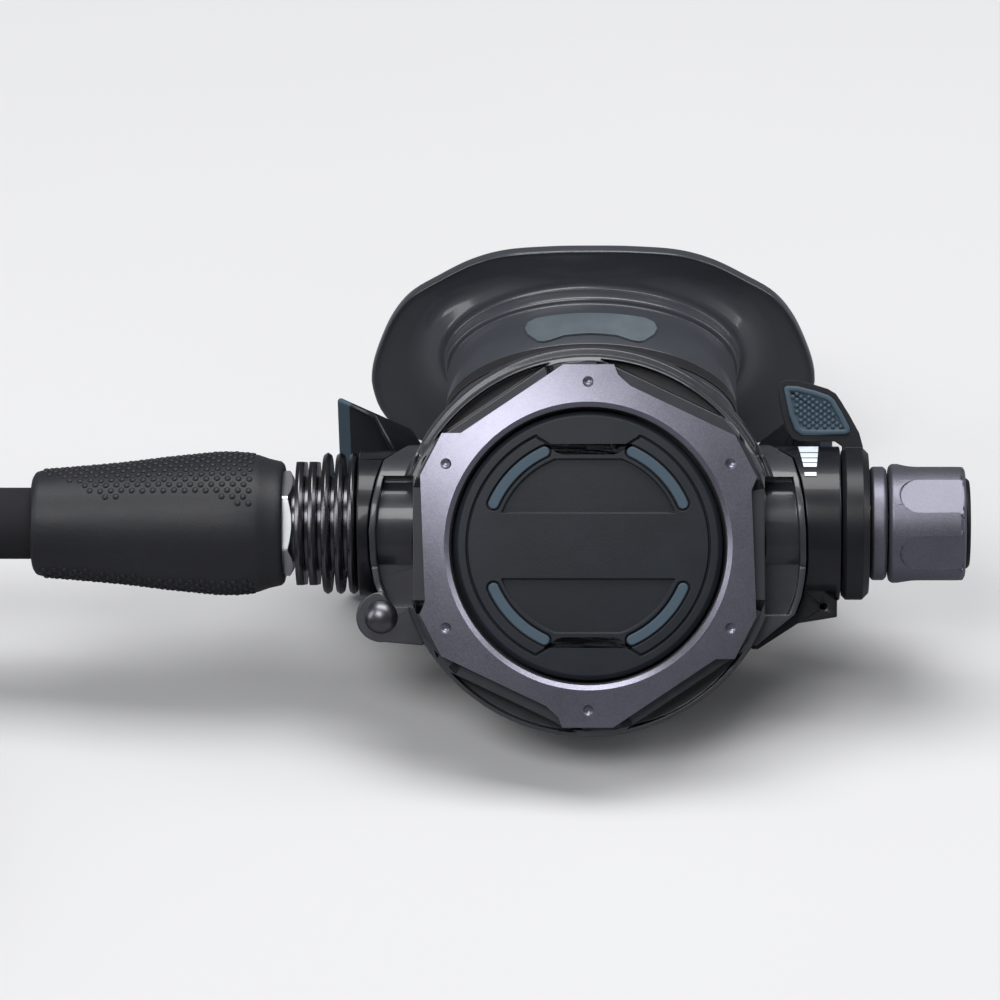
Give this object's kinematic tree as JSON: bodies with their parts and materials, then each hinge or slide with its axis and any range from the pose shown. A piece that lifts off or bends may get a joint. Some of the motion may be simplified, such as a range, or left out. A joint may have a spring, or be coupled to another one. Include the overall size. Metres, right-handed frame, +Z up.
{
  "type": "scuba second-stage regulator",
  "caption": "Demand valve with purge button, lever, adjusting knob, mouthpiece, exhaust tee and a braided hose coiled beside it.",
  "frame": {"origin": "centre of the exhaust tee's flat foot, on the ground", "axes": "+Z up, +X towards the adjusting knob (away from the hose), +Y towards the mouthpiece; the front cover faces -Y and leans back 35 degrees"},
  "size_m": [0.3578, 0.207, 0.0705],
  "materials": {
    "case_plastic": "satin black nylon",
    "cover_plastic": "gloss black",
    "bezel_metal": "satin purple-grey metal",
    "button_soft": "matt charcoal soft touch",
    "accent_rubber": "grey-blue",
    "spring_steel": "bright wire",
    "inner_plastic": "moulded",
    "clear_silicone": "translucent grey silicone",
    "bare_steel": "machined",
    "valve_brass": "machined",
    "poppet_plastic": "moulded",
    "seat_rubber": "moulded",
    "dark_metal": "dark polished coating",
    "bright_chrome": "polished",
    "sleeve_rubber": "matt",
    "mouth_silicone": "glossy black silicone",
    "knob_metal": "satin purple-grey metal",
    "mark_paint": "printed white",
    "hose_braid": "braided nylon",
    "strap_rubber": "matt"
  },
  "bodies": {
    "case": {"case_body": "case_plastic", "front_cover": "cover_plastic", "bezel_ring": "bezel_metal", "purge_spring": "spring_steel", "diaphragm_guard": "inner_plastic", "diaphragm": "clear_silicone", "valve_tube": "valve_brass", "seat_orifice": "bare_steel", "heat_exchanger": "dark_metal", "inlet_oring": "seat_rubber", "hose_nut": "bright_chrome", "hose_ferrule": "bare_steel", "mouthpiece": "mouth_silicone", "mouthpiece_clamp": "seat_rubber", "mouthpiece_badge": "accent_rubber", "exhaust_valve": "clear_silicone", "exhaust_tee": "case_plastic", "tee_trim": "accent_rubber", "lock_pin": "dark_metal", "scale_marks": "mark_paint", "knob_collar": "knob_metal", "hose_run": "hose_braid", "hose_coil": "hose_braid", "hose_tie": "strap_rubber", "far_ferrule": "bare_steel", "first_stage_fitting": "bright_chrome", "fitting_oring": "seat_rubber"},
    "purge": {"purge_button": "button_soft", "purge_accents": "accent_rubber"},
    "membrane_centre": {"diaphragm_plate": "bare_steel"},
    "lever": {"demand_lever": "bare_steel"},
    "poppet_group": {"poppet": "poppet_plastic", "poppet_seat": "seat_rubber", "poppet_nut": "bare_steel", "poppet_spring": "spring_steel"},
    "pad": {"spring_pad": "valve_brass"},
    "venturi": {"venturi_lever": "inner_plastic", "lever_pad": "accent_rubber", "venturi_vane": "inner_plastic"},
    "knob": {"adjust_knob": "knob_metal", "knob_cap": "knob_metal", "adjust_screw": "bare_steel", "screw_oring": "seat_rubber"},
    "sleeve": {"hose_protector": "sleeve_rubber"}
  },
  "joints": [
    {"name": "purge_press", "type": "slide", "parent": "case", "child": "purge", "axis": [0, 0.8192, -0.5736], "range_m": [0, 0.0025], "stiffness_N_per_m": 800, "springref_m": -0.003},
    {"name": "diaphragm_lift", "type": "slide", "parent": "case", "child": "membrane_centre", "axis": [0, 0.8192, -0.5736], "range_m": [0, 0.0025]},
    {"name": "lever_swing", "type": "hinge", "parent": "case", "child": "lever", "pos_m": [0.016, -0.01583, 0.03738], "axis": [0, -0.5736, -0.8192], "range_deg": [0, 8.96]},
    {"name": "poppet_slide", "type": "slide", "parent": "case", "child": "poppet_group", "axis": [1, 0, 0], "range_m": [0, 0.000391]},
    {"name": "venturi_turn", "type": "hinge", "parent": "case", "child": "venturi", "pos_m": [0.045, -0.011, 0.034], "axis": [1, 0, 0], "range_deg": [0, 55]},
    {"name": "knob_turn", "type": "hinge", "parent": "case", "child": "knob", "pos_m": [0.06, -0.011, 0.034], "axis": [1, 0, 0], "range_deg": [-360, 360]},
    {"name": "spring_pad_slide", "type": "slide", "parent": "case", "child": "pad", "axis": [1, 0, 0], "range_m": [-0.001, 0.001]},
    {"name": "sleeve_slide", "type": "slide", "parent": "case", "child": "sleeve", "axis": [-1, 0, 0], "range_m": [0, 0.02]}
  ],
  "couplings": [
    {"joint": "diaphragm_lift", "follows": "purge_press", "ratio": 1},
    {"joint": "lever_swing", "follows": "purge_press", "rad_per_m": 62.5},
    {"joint": "poppet_slide", "follows": "purge_press", "ratio": 0.15625},
    {"joint": "spring_pad_slide", "follows": "knob_turn", "m_per_rad": 0.00015915}
  ]
}
